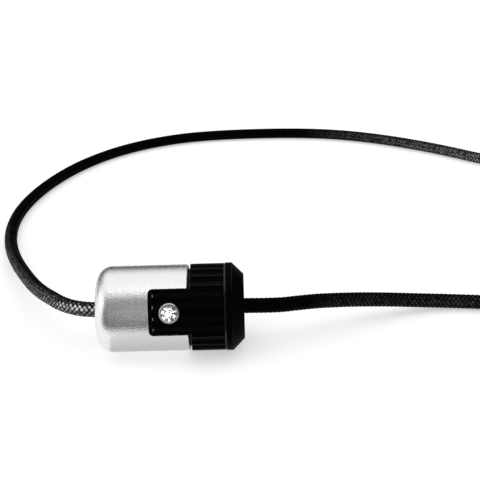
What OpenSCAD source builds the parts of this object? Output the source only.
// Cable shutter release with an in-line keyed coupling, in millimetres.
// +X runs along the coupling from its sleeve to its plug, +Z is up, and the floor is z = 0.

/* [Sleeve] */
// Outer diameter of the bright sleeve
sleeve_d = 17.5; // [14:0.1:21]
// Length of the sleeve
sleeve_l = 18.5; // [16:0.1:24]
// Wall of the sleeve
sleeve_wall = 0.9; // [0.6:0.1:1.2]
// Thickness of the sleeve's closed end
end_wall = 1.4; // [1:0.1:2]
// Rounding of the closed end's shoulder
shoulder_r = 3; // [2:0.1:4]
// Small bevel round the open rim
rim_bevel = 0.2; // [0.1:0.05:0.3]

/* [Notch and tongue] */
// Width of the notch in the sleeve's rim
notch_w = 9.25; // [7:0.05:11]
// Depth of the notch from the rim
notch_l = 7.75; // [6:0.05:9]
// Corner radius of the notch
notch_r = 0.9; // [0.5:0.1:1.5]
// Gap between the tongue and each side of the notch
tongue_gap = 0.15; // [0.1:0.05:0.3]
// Gap between the tongue's end and the notch's end
tongue_end_gap = 0.5; // [0.3:0.05:0.8]
// Bevel on the tongue's end
tongue_bevel = 0.4; // [0.2:0.05:0.6]
// Angle of the notch and stone above the horizontal
stone_tilt = 21.5; // [0:0.5:45]

/* [Grip] */
// Diameter of the grip over its ribs
grip_d = 17.6; // [15:0.1:21]
// Length of the ribbed grip
grip_l = 6.8; // [5:0.1:9]
// Number of flutes
flute_n = 24; // [18:1:30]
// Depth of each flute
flute_depth = 0.45; // [0.3:0.05:0.6]
// Radius of the cutter that makes a flute
flute_r = 1.25; // [0.9:0.05:1.6]
// Gap between the sleeve's rim and the grip
rim_gap = 0.4; // [0.3:0.05:0.8]
// Radial play of the plug's spigot in the sleeve
spigot_play = 0.05; // [0.03:0.01:0.08]
// How far the spigot reaches past the notch's end
spigot_lead = 2.35; // [2:0.05:3]

/* [End cap] */
// Diameter of the end cap's band
cap_d = 17.8; // [16:0.1:21]
// Length of the band
cap_band = 1.55; // [1:0.05:2.5]
// Size of the 45 degree bevel at the end
cap_bevel = 2.35; // [1.5:0.05:3]
// Length of the cap's inner spigot
cap_spigot = 2.1; // [1.5:0.1:2.5]
// Depth and width of the line between grip and cap
cap_line = 0.2; // [0.1:0.05:0.3]

/* [Stone] */
// Outer diameter of the stone's setting
bezel_d = 4; // [3.5:0.1:5]
// Wall of the setting
bezel_wall = 0.4; // [0.3:0.05:0.6]
// Height of the setting over the ribs
bezel_proud = 0.5; // [0.2:0.05:0.8]
// Place of the stone along the coupling, from its middle
stone_x = 0.1; // [-0.5:0.1:1]
// Height of the stone's crown as a share of its radius
crown_share = 0.32; // [0.25:0.01:0.4]
// Width of the stone's table as a share of its girdle
table_share = 0.57; // [0.5:0.01:0.65]
// Depth of the stone's pavilion as a share of its radius
pavilion_share = 0.86; // [0.7:0.01:0.95]
// Place of the break in the stone's crown as a share of its radius
break_share = 0.78; // [0.7:0.01:0.85]
// Place of the break in the stone's pavilion as a share of its radius
lower_share = 0.25; // [0.15:0.01:0.35]
// Thickness of the stone's girdle
girdle_t = 0.15; // [0.1:0.01:0.2]

/* [Cable and wire] */
// Diameter of the braided cable
cable_d = 3; // [2.5:0.1:3.5]
// Play of the cable in the holes that it passes
cable_play = 0.1; // [0.05:0.05:0.3]
// Diameter of the wire that pushes
wire_d = 1.2; // [1:0.1:1.4]
// Radial play of the wire in its guides
wire_play = 0.06; // [0.03:0.01:0.09]
// Radial play of the wire in the cable
core_play = 0.15; // [0.1:0.05:0.2]
// Travel of the plunger, the wire and the pin
stroke = 5; // [3:0.5:6]
// Least length of wire that stays inside the cable
tail_in = 0.2; // [0.1:0.1:0.4]

/* [Socket works] */
// Gap between the ferrule's flange and the foot of the sleeve's inner rounding
flange_gap = 0.25; // [0.1:0.05:0.5]
// Thickness of the ferrule's flange
flange_t = 1.2; // [0.8:0.1:1.6]
// Inner diameter of the spring housing
housing_d = 6.8; // [6:0.1:7.5]
// Wall of the spring housing
housing_wall = 0.5; // [0.4:0.1:0.7]
// How far the housing ends inside the sleeve's rim
housing_depth = 3.1; // [2.5:0.1:4]
// Diameter of the hole in the housing's end
housing_hole = 3.4; // [3:0.1:4]
// Thickness of the push rod's head
head_t = 1; // [0.6:0.1:1.5]
// Length of the ferrule's step that carries the housing
step_l = 0.8; // [0.6:0.1:1.2]
// Thickness of the lip that keeps the head in
lip_t = 0.8; // [0.6:0.1:1.2]
// Play between the parts that push each other
push_gap = 0.1; // [0.05:0.05:0.2]
// Clear space between parts of different bodies
clear = 0.3; // [0.2:0.05:0.4]

/* [Plug works] */
// Diameter of the driver that pushes the rod
driver_d = 2.4; // [2:0.1:2.8]
// Outer diameter of the driver's guide bush
bush_d = 6; // [5:0.1:7]
// Diameter of the bush's flange
bush_flange_d = 8; // [7:0.1:9]
// Thickness of the bush's flange
bush_flange_t = 1; // [0.6:0.1:1.1]
// Space between the housing and the bush
web_gap = 1.5; // [1:0.1:2]
// Wall of the end cap round the cable
cap_wall = 1.8; // [1.4:0.1:2.2]
// Diameter of the recess behind the grip
recess_d = 10; // [9:0.1:11]
// Depth of the recess behind the grip
recess_l = 3.3; // [2.8:0.1:4]
// Diameter of the plug ferrule's flange
plug_flange_d = 6.6; // [6:0.1:7]
// Diameter of the plug ferrule's tube
plug_tube_d = 4; // [3:0.1:5]
// Thickness of the snap ring across the axis
snap_t = 0.6; // [0.4:0.05:0.8]
// Width of the snap ring along the axis
snap_w = 0.7; // [0.5:0.05:1]
// Opening of the snap ring
snap_open = 2; // [1:0.5:4]

/* [Springs] */
// Wire diameter of the return spring
spring_wire = 0.5; // [0.4:0.05:0.6]
// Radial play of the return spring in its housing
spring_play = 0.45; // [0.2:0.05:0.6]
// Curls of the return spring
spring_n = 7; // [5:1:8]
// Wire diameter of the plunger's spring
press_wire = 0.6; // [0.5:0.05:0.7]
// Radial play of the plunger's spring in the handle
press_play = 0.5; // [0.2:0.05:0.7]
// Curls of the plunger's spring
press_n = 8; // [6:1:9]

/* [Handle] */
// Diameter of the handle's barrel
handle_d = 9; // [8:0.1:11]
// Length of the handle's barrel
handle_l = 21; // [18:0.5:26]
// Inner diameter of the handle's barrel
handle_bore = 6.8; // [6.4:0.1:7.2]
// Rounding of the handle's cable end
handle_round = 1.5; // [1:0.1:2]
// Thickness of the handle's end wall
handle_wall = 2.4; // [1.8:0.1:3]
// Place of the wall's inner face past the cable's end
handle_floor = 1.4; // [1:0.1:2]
// Width of the finger rest
rest_w = 24; // [20:0.5:30]
// Thickness of the finger rest
rest_t = 2; // [1.5:0.1:3]
// Length of the bush that closes the handle
cap_nut_l = 3.5; // [2.5:0.1:5]
// Length of the bush inside the barrel
bush_in = 1.2; // [1:0.1:2]
// Thickness of the plunger's piston
piston_t = 1.6; // [1:0.1:2]
// Diameter of the plunger's rod
rod_d = 3; // [2.5:0.1:3.5]
// Diameter of the plunger's button
button_d = 8.8; // [7.5:0.1:9]
// Thickness of the plunger's button
button_t = 2.6; // [2:0.1:3.5]
// Depth of the button's thumb hollow
button_dish = 0.5; // [0.3:0.05:0.8]
// Rounding of the button's edge
button_round = 0.8; // [0.4:0.1:1]

/* [Camera tip] */
// Diameter of the tip's knurled collar
collar_d = 8; // [7:0.1:10]
// Length of the knurled collar
collar_l = 7; // [6:0.1:9]
// Bevel on the collar's edges
collar_bevel = 0.5; // [0.3:0.05:0.8]
// Diameter of the threaded nipple
nipple_d = 3.4; // [3:0.1:4]
// Length of the threaded nipple
nipple_l = 5; // [4:0.1:6]
// Bevel at the nipple's end
nipple_bevel = 0.3; // [0.2:0.05:0.5]
// Place of the neck past the cable's end
x_neck = 3; // [2.5:0.1:4]
// Diameter of the neck that the collar turns on
neck_d = 3.2; // [2.8:0.1:3.6]
// Thickness of the neck's head
neck_head_t = 1; // [0.8:0.1:1.2]
// How far the pin rests inside the nipple
pin_back = 0.4; // [0.2:0.1:0.8]
// Diameter of the head that keeps the collar on
neck_head_d = 4.6; // [4.2:0.1:5]
// Running play of the collar on its neck
neck_play = 0.08; // [0.04:0.01:0.1]
// Length of the crimped sleeve round a cable end
crimp_l = 5; // [4:0.1:6]
// Wall of the crimped sleeve
crimp_wall = 0.9; // [0.6:0.1:1.2]

/* [Hidden] */
$fn = 96;

// How far a cutter runs past the face that it opens
over = 1;

// Length of the coupling, its ends and the height of its axis
cap_l = cap_band + cap_bevel;
coupling_l = sleeve_l + rim_gap + grip_l + cap_l;
x_end = -coupling_l / 2;
x_rim = x_end + sleeve_l;
x_grip = x_rim + rim_gap;
x_cap = x_grip + grip_l;
x_face = x_cap + cap_l;
axis_z = max(sleeve_d, grip_d, cap_d) / 2;

// Radii of the coupling's shells
sleeve_r = sleeve_d / 2;
bore_r = sleeve_r - sleeve_wall;
shoulder_in_r = shoulder_r - sleeve_wall;
spigot_r = bore_r - spigot_play;
grip_r = grip_d / 2;
cap_r = cap_d / 2;
cap_face_r = cap_r - cap_bevel;

// Places along the sleeve side
x_seat = x_end + end_wall;
x_step = x_seat + flange_t;
x_spring = x_step + step_l;
x_house = x_rim - housing_depth;
x_head = x_house - lip_t - push_gap;
housing_r = housing_d / 2 + housing_wall;
ferrule_flange_d = 2 * (bore_r - shoulder_in_r - flange_gap);
wire_r = wire_d / 2;
guide_r = wire_r + wire_play;
core_r = wire_r + core_play;
core_l = stroke + 3 * tail_in;

// Places along the plug side
x_notch = x_rim - notch_l;
x_tongue = x_notch + tongue_end_gap;
x_spigot = x_notch - spigot_lead;
x_web = x_house + web_gap;
x_recess = x_cap - recess_l;
x_bush = x_recess + bush_flange_t;
x_plug = x_face - cap_wall;
x_flange = x_plug - flange_t;
x_snap = x_spigot + snap_w;
driver_r = driver_d / 2;
x_driver = x_house + push_gap;
x_tail = x_recess;

// The stone's setting, measured out from the axis
bezel_r = bezel_d / 2;
stone_r = bezel_r - bezel_wall;
bezel_top = grip_r + bezel_proud;
girdle_top = bezel_top - girdle_t;
girdle_low = girdle_top - girdle_t;
culet_at = girdle_low - pavilion_share * stone_r;
bezel_floor = culet_at - clear;
bezel_base = bezel_floor - bezel_wall;

// Points of the camera cable from its end in the sleeve: along, back, share of the axis height,
// share of the tip's height
cable_r = cable_d / 2;
hole_r = cable_r + cable_play;
camera_points = [
  [0, 0, 1, 0], [-2.6, 0, 1, 0], [-5.3, 0.7, 0.99, 0], [-7.8, 2.1, 0.97, 0], [-10.1, 4.1, 0.95, 0],
  [-12.1, 6.5, 0.92, 0], [-14, 9.1, 0.87, 0], [-15.8, 12, 0.81, 0], [-17.5, 15.2, 0.74, 0],
  [-19.4, 19.3, 0.65, 0], [-21.6, 24.4, 0.54, 0], [-23.9, 30.2, 0.4, 0], [-26.2, 36.6, 0.26, 0],
  [-28.3, 43.3, 0.14, 0], [-30, 50.3, 0.05, 0], [-31.1, 57.6, 0, 0], [-31.3, 65, 0, 0], [-30.6, 72.6, 0, 0],
  [-29, 80.2, 0, 0], [-26.6, 87.7, 0, 0], [-23.5, 95, 0, 0], [-19.6, 102, 0, 0], [-14.8, 108.5, 0, 0],
  [-9.3, 114.2, 0, 0], [-3, 119, 0, 0], [4, 122.8, 0, 0], [11.4, 125.5, 0, 0], [19.2, 127, 0, 0],
  [27.2, 127.7, 0, 0], [35.2, 127.9, 0, 0], [43.2, 127.6, 0, 0], [51.2, 126.7, 0, 0], [58.9, 125, 0, 0],
  [66.2, 122.4, 0, 0], [73.4, 119, 0, 0], [80.2, 115, 0, 0], [86.7, 110.6, 0, 0], [93, 105.7, 0, 0],
  [99.2, 100.5, 0, 0], [105.7, 95.7, 0, 0], [112.6, 91.7, 0, 0.1], [120.2, 89, 0, 0.4],
  [128.2, 87.7, 0, 0.8], [135.8, 87.4, 0, 1], [143.4, 87.4, 0, 1]
];

// Points of the hand cable from its end in the plug, with shares of the axis and handle heights
hand_points = [
  [0, 0, 1, 0], [3, 0, 1, 0], [6.2, 0.3, 0.97, 0], [9.6, 1.2, 0.91, 0], [13.3, 2.6, 0.85, 0],
  [17.7, 4.5, 0.75, 0], [24.8, 7.6, 0.53, 0], [32.3, 10.3, 0.3, 0], [40, 12.2, 0.1, 0],
  [48, 12.7, 0, 0], [56, 11.6, 0, 0], [63.5, 9.4, 0, 0.1], [71, 7.1, 0, 0.35],
  [78.5, 5.4, 0, 0.7], [85.5, 4.6, 0, 0.95], [92, 4.5, 0, 1], [99, 4.5, 0, 1]
];

// Heights of the fittings that lie on the floor
handle_z = max(handle_d, button_d) / 2;
tip_z = collar_d / 2;

// A cable's ring centres in the shared frame
function lay(points, x, high) = [
  for (p = points)
    [x + p[0], p[1], cable_r + p[2] * (axis_z - cable_r) + p[3] * (high - cable_r)]
];
camera_route = lay(camera_points, x_seat, tip_z);
hand_route = lay(hand_points, x_plug, handle_z);
tip_at = camera_route[len(camera_route) - 1];
hand_at = hand_route[len(hand_route) - 1];

// Places along the handle, from the cable's end
x_handle = handle_floor - handle_wall;
x_press_seat = handle_floor + handle_wall;
x_handle_end = x_handle + handle_l;
rest_h = 2 * handle_z;
x_nut = x_handle_end + rest_t;
bush_r = handle_bore / 2;
x_bush_in = x_handle_end - bush_in;
x_piston = x_bush_in - push_gap - piston_t;
x_button = x_nut + cap_nut_l + stroke + 2 * clear;
press_r = rod_d / 2 + wire_play;

// Places along the tip, from the cable's end
x_collar = x_neck + clear;
x_nipple = x_collar + collar_l;
x_pocket = x_nipple - 2 * neck_head_t - 2 * clear;
x_neck_head = x_pocket + clear;
pocket_r = neck_head_d / 2 + clear;

// Mean diameters of the springs
spring_d = housing_d - spring_wire - 2 * spring_play;
press_d = handle_bore - press_wire - 2 * press_play;

// Helices of the springs, and the least gap between their curls, measured on their points
curl_n = 8;
function helix(x0, x1, r, turns) = [
  for (i = [0 : curl_n * turns])
    [x0 + (x1 - x0) * i / (curl_n * turns), r * cos(360 * i / curl_n), r * sin(360 * i / curl_n)]
];
function least_gap(p, wire) = min([
  for (i = [0 : len(p) - 1 - curl_n])
    for (k = [i + curl_n / 2 : len(p) - 1]) norm(p[k] - p[i])
]) - wire;
function seated(x0, x1, wire, d, turns) = helix(x0 + wire / 2, x1 - wire / 2, d / 2, turns);
return_path = seated(x_spring, x_head - head_t, spring_wire, spring_d, spring_n);
press_path = seated(x_press_seat, x_piston, press_wire, press_d, press_n);
echo(str("least gap of the return spring ", least_gap(return_path, spring_wire)));
echo(str("least gap of the plunger spring ", least_gap(press_path, press_wire)));

// Rings round a line of points, and the closed tube through them
function unit(v) = v / norm(v);
function along(p, i) = unit(p[min(i + 1, len(p) - 1)] - p[max(i - 1, 0)]);
function ring(c, t, up, r, n) = let (s = unit(cross(up, t)), u = cross(t, s))
  [for (k = [0 : n - 1]) c + r * (cos(360 * (k + 0.5) / n) * s + sin(360 * (k + 0.5) / n) * u)];
function skin(m, n) = concat(
  [[for (k = [0 : n - 1]) k]],
  [for (i = [0 : m - 2]) for (k = [0 : n - 1]) [i * n + k, (i + 1) * n + k, (i + 1) * n + (k + 1) % n]],
  [for (i = [0 : m - 2]) for (k = [0 : n - 1]) [i * n + k, (i + 1) * n + (k + 1) % n, i * n + (k + 1) % n]],
  [[for (k = [0 : n - 1]) m * n - 1 - k]]
);

module tube(path, r, n, up = [0, 0, 1]) {
  points = [for (i = [0 : len(path) - 1]) for (v = ring(path[i], along(path, i), up, r, n)) v];
  polyhedron(points, skin(len(path), n), convexity = 10);
}

module coil(path, r) {
  n = 6;
  points = [
    for (i = [0 : len(path) - 1])
      for (v = ring(path[i], along(path, i), [0, path[i][1], path[i][2]], r, n)) v
  ];
  polyhedron(points, skin(len(path), n), convexity = 10);
}

// Turns a piece drawn up the z axis to lie along +X on the coupling, the handle or the tip
module on_axis(x = 0) {
  translate([x, 0, axis_z]) rotate([0, 90, 0]) children();
}

module on_handle(x = 0) {
  translate(hand_at + [x, 0, 0]) rotate([0, 90, 0]) children();
}

module on_tip(x = 0) {
  translate(tip_at + [x, 0, 0]) rotate([0, 90, 0]) children();
}

// Stands a piece on the axis, pointing out through the stone
module at_stone(x = 0) {
  translate([x, 0, axis_z]) rotate([90 - stone_tilt, 0, 0]) children();
}

// A plain rod or hole from one place to another
module rod(x0, x1, r) {
  translate([0, 0, x0]) cylinder(h = x1 - x0, r = r);
}

module notch_shape(w, l, r) {
  translate([0, r - w / 2]) square([l, w - 2 * r]);
  translate([r, -w / 2]) square([l - r, w]);
  for (s = [-1, 1]) translate([r, s * (w / 2 - r)]) circle(r);
}

// Socket side
module outer_sleeve() {
  color("Silver") difference() {
    on_axis(x_end) rotate_extrude() difference() {
      union() {
        square([sleeve_r - shoulder_r, sleeve_l]);
        polygon([[0, shoulder_r], [sleeve_r, shoulder_r], [sleeve_r, sleeve_l - rim_bevel],
                 [sleeve_r - rim_bevel, sleeve_l], [0, sleeve_l]]);
        translate([sleeve_r - shoulder_r, shoulder_r]) intersection() {
          circle(shoulder_r);
          translate([0, -shoulder_r]) square(shoulder_r);
        }
      }
      union() {
        translate([0, end_wall]) square([bore_r - shoulder_in_r, sleeve_l]);
        translate([0, end_wall + shoulder_in_r]) square([bore_r, sleeve_l]);
        translate([bore_r - shoulder_in_r, end_wall + shoulder_in_r]) intersection() {
          circle(shoulder_in_r);
          translate([0, -shoulder_in_r]) square(shoulder_in_r);
        }
        translate([0, -over]) square([hole_r, end_wall + 2 * over]);
      }
    }
    at_stone(x_notch) linear_extrude(sleeve_d) notch_shape(notch_w, notch_l + over, notch_r);
  }
}

module sleeve_ferrule() {
  color("Goldenrod") on_axis() difference() {
    union() {
      rod(x_seat, x_step, ferrule_flange_d / 2);
      rod(x_step, x_spring, housing_d / 2);
    }
    rod(x_seat - over, x_spring + over, guide_r);
  }
}

module spring_housing() {
  color("Goldenrod") on_axis() difference() {
    rod(x_step, x_house, housing_r);
    rod(x_step - over, x_house - lip_t, housing_d / 2);
    rod(x_step, x_house + over, housing_hole / 2);
  }
}

module return_spring() {
  color("LightGray") translate([0, 0, axis_z]) coil(return_path, spring_wire / 2);
}

module push_rod() {
  color("Silver") on_axis() {
    rod(x_seat - tail_in, x_head - head_t / 2, wire_r);
    rod(x_head - head_t, x_head, housing_d / 2 - wire_play);
    rod(x_head - head_t / 2, x_house, housing_hole / 2 - clear);
  }
}

module camera_cable() {
  color("DimGray") difference() {
    tube(camera_route, cable_r, 8);
    on_axis() rod(x_seat - core_l, x_seat + over, core_r);
    on_tip() rod(-core_l, over, core_r);
  }
}

// Plug side
module grip() {
  flute_at = grip_r - flute_depth + flute_r;
  color("DimGray") difference() {
    union() {
      on_axis() rod(x_spigot, x_cap, spigot_r);
      on_axis() rod(x_grip, x_cap, grip_r);
      intersection() {
        on_axis() rotate_extrude()
          polygon([[0, x_tongue], [grip_r - tongue_bevel, x_tongue], [grip_r, x_tongue + tongue_bevel],
                   [grip_r, x_grip + over], [0, x_grip + over]]);
        at_stone() translate([x_tongue - over, tongue_gap - notch_w / 2, 0])
          cube([coupling_l, notch_w - 2 * tongue_gap, grip_d]);
      }
    }
    for (i = [0 : flute_n - 1])
      on_axis() rotate(-90 - stone_tilt + 360 * i / flute_n) translate([flute_at, 0, 0])
        rod(x_tongue - over, x_cap + over, flute_r);
    on_axis() {
      rod(x_spigot - over, x_web, housing_r + clear);
      rod(x_web - over, x_cap, bush_d / 2);
      rod(x_recess, x_cap + over, recess_d / 2);
      difference() {
        rod(x_snap, x_snap + snap_w, spigot_r + over);
        rod(x_snap - over, x_snap + snap_w + over, spigot_r - snap_t);
      }
    }
    at_stone(stone_x) rod(bezel_base, grip_d, bezel_r);
  }
}

module snap_ring() {
  color("LightGray") difference() {
    on_axis() rod(x_snap, x_snap + snap_w, spigot_r);
    on_axis() rod(x_snap - over, x_snap + snap_w + over, spigot_r - snap_t);
    at_stone() translate([x_snap - over, -snap_open / 2, -grip_d])
      cube([snap_w + 2 * over, snap_open, grip_d]);
  }
}

module bezel() {
  color("LightGray") at_stone(stone_x) difference() {
    rod(bezel_base, bezel_top, bezel_r);
    rod(bezel_floor, bezel_top + over, stone_r);
  }
}

// Brilliant cut: eight main facets above and below, with the breaks between them on the mains' planes
module stone() {
  mains = 8;
  crown_h = crown_share * stone_r;
  half = cos(180 / mains);
  function wheel(share, z, n, turn = 0) = [
    for (i = [0 : n - 1])
      [share * stone_r * cos(360 * (i + turn) / n), share * stone_r * sin(360 * (i + turn) / n), z]
  ];
  points = concat(
    wheel(table_share, girdle_top + crown_h, mains),
    wheel(break_share, girdle_top + crown_h * (1 - break_share * half) / (1 - table_share), mains, 0.5),
    wheel(1, girdle_top, 2 * mains),
    wheel(1, girdle_low, 2 * mains),
    wheel(lower_share, culet_at + (girdle_low - culet_at) * lower_share * half, mains, 0.5),
    [[0, 0, culet_at]]
  );
  color("White") at_stone(stone_x) hull()
    polyhedron(points, [for (i = [2 : len(points) - 1]) [i - 2, i - 1, i]]);
}

module guide_bush() {
  color("Goldenrod") on_axis() difference() {
    union() {
      rod(x_web, x_recess, bush_d / 2);
      rod(x_recess, x_bush, bush_flange_d / 2);
    }
    rod(x_web - over, x_bush + over, driver_r + wire_play);
  }
}

module driver_pin() {
  color("Silver") on_axis() {
    rod(x_driver, x_tail, driver_r);
    rod(x_tail - over, x_plug + stroke + tail_in, wire_r);
  }
}

module plug_ferrule() {
  color("Goldenrod") on_axis() difference() {
    union() {
      rod(x_bush, x_flange, plug_tube_d / 2);
      rod(x_flange, x_plug, plug_flange_d / 2);
    }
    rod(x_bush - over, x_plug + over, guide_r);
  }
}

module end_cap() {
  color("DimGray") on_axis() difference() {
    union() {
      rod(x_cap - cap_spigot, x_cap + cap_band, recess_d / 2);
      rotate_extrude()
        polygon([[0, x_cap], [cap_r - cap_line, x_cap], [cap_r - cap_line, x_cap + cap_line],
                 [cap_r, x_cap + cap_line], [cap_r, x_cap + cap_band], [cap_face_r, x_face], [0, x_face]]);
    }
    rod(x_cap - cap_spigot - over, x_cap, bush_flange_d / 2);
    rod(x_cap - over, x_plug, plug_flange_d / 2);
    rod(x_cap, x_face + over, hole_r);
  }
}

module hand_cable() {
  color("DimGray") difference() {
    tube(hand_route, cable_r, 8);
    on_axis() rod(x_plug - over, x_plug + core_l, core_r);
    on_handle() rod(-core_l, over, core_r);
  }
}

// Handle on the hand cable
module handle_ferrule() {
  color("Goldenrod") on_handle() difference() {
    union() {
      rod(-crimp_l, handle_floor, hole_r + crimp_wall);
      rod(handle_floor, x_press_seat, handle_bore / 2);
    }
    rod(-crimp_l - over, 0, hole_r);
    rod(-over, x_press_seat + over, guide_r);
  }
}

module handle_barrel() {
  r = handle_d / 2;
  color("Silver") on_handle() difference() {
    translate([0, 0, x_handle]) rotate_extrude() union() {
      square([r - handle_round, handle_l]);
      translate([0, handle_round]) square([r, handle_l - handle_round]);
      translate([r - handle_round, handle_round]) circle(handle_round);
    }
    rod(x_handle - over, handle_floor + over, hole_r + crimp_wall);
    rod(handle_floor, x_handle_end + over, handle_bore / 2);
  }
}

module finger_rest() {
  side = rest_w / 2 - handle_z;
  color("DimGray") on_handle(x_handle_end) difference() {
    linear_extrude(rest_t) union() {
      square([rest_h, 2 * side], center = true);
      for (s = [-1, 1]) translate([0, s * side]) circle(handle_z);
    }
    rod(-over, rest_t + over, bush_r);
  }
}

module handle_bush() {
  color("Silver") on_handle() difference() {
    union() {
      rod(x_bush_in, x_nut + over, bush_r);
      rod(x_nut, x_nut + cap_nut_l, handle_d / 2 - clear);
    }
    rod(x_bush_in - over, x_nut + cap_nut_l + over, press_r);
  }
}

module plunger_spring() {
  color("LightGray") translate(hand_at) coil(press_path, press_wire / 2);
}

module plunger_rod() {
  color("Silver") on_handle() {
    rod(-tail_in, x_piston + piston_t / 2, wire_r);
    rod(x_piston, x_piston + piston_t, handle_bore / 2 - wire_play);
    rod(x_piston + piston_t / 2, x_button + button_t / 2, rod_d / 2);
  }
}

module plunger_button() {
  r = button_d / 2;
  dish_r = r - button_round;
  ball_r = (dish_r * dish_r + button_dish * button_dish) / (2 * button_dish);
  color("DimGray") on_handle(x_button) difference() {
    rotate_extrude() union() {
      square([r - button_round, button_t]);
      square([r, button_t - button_round]);
      translate([r - button_round, button_t - button_round]) intersection() {
        circle(button_round);
        square(button_round);
      }
    }
    translate([0, 0, button_t - button_dish + ball_r]) sphere(ball_r);
    rod(-over, button_t / 2, rod_d / 2);
  }
}

// Tip on the camera cable
module tip_ferrule() {
  color("Silver") on_tip() difference() {
    union() {
      rod(-crimp_l, x_neck, hole_r + crimp_wall);
      rod(x_neck, x_neck_head + neck_head_t, neck_d / 2);
      rod(x_neck_head, x_neck_head + neck_head_t, neck_head_d / 2);
    }
    rod(-crimp_l - over, 0, hole_r);
    rod(-over, x_nipple, guide_r);
  }
}

module tip_collar() {
  r = collar_d / 2;
  b = collar_bevel;
  color("Silver") on_tip() difference() {
    rotate_extrude()
      polygon([[0, x_collar], [r - b, x_collar], [r, x_collar + b], [r, x_nipple - b],
               [r - b, x_nipple], [0, x_nipple]]);
    rod(x_collar - over, x_nipple, neck_d / 2 + neck_play);
    rod(x_pocket, x_nipple + over, pocket_r);
  }
}

module tip_nipple() {
  r = nipple_d / 2;
  b = nipple_bevel;
  color("Silver") on_tip() difference() {
    union() {
      rod(x_nipple - neck_head_t, x_nipple, pocket_r);
      rotate_extrude()
        polygon([[0, x_nipple - neck_head_t], [r, x_nipple - neck_head_t],
                 [r, x_nipple + nipple_l - b], [r - b, x_nipple + nipple_l], [0, x_nipple + nipple_l]]);
    }
    rod(x_pocket, x_nipple + nipple_l + over, guide_r);
  }
}

module tip_pin() {
  color("LightGray") on_tip() rod(-stroke - tail_in, x_nipple + nipple_l - pin_back, wire_r);
}

outer_sleeve();
sleeve_ferrule();
spring_housing();
return_spring();
push_rod();
camera_cable();
grip();
snap_ring();
bezel();
stone();
guide_bush();
driver_pin();
plug_ferrule();
end_cap();
hand_cable();
handle_ferrule();
handle_barrel();
finger_rest();
handle_bush();
plunger_spring();
plunger_rod();
plunger_button();
tip_ferrule();
tip_collar();
tip_nipple();
tip_pin();
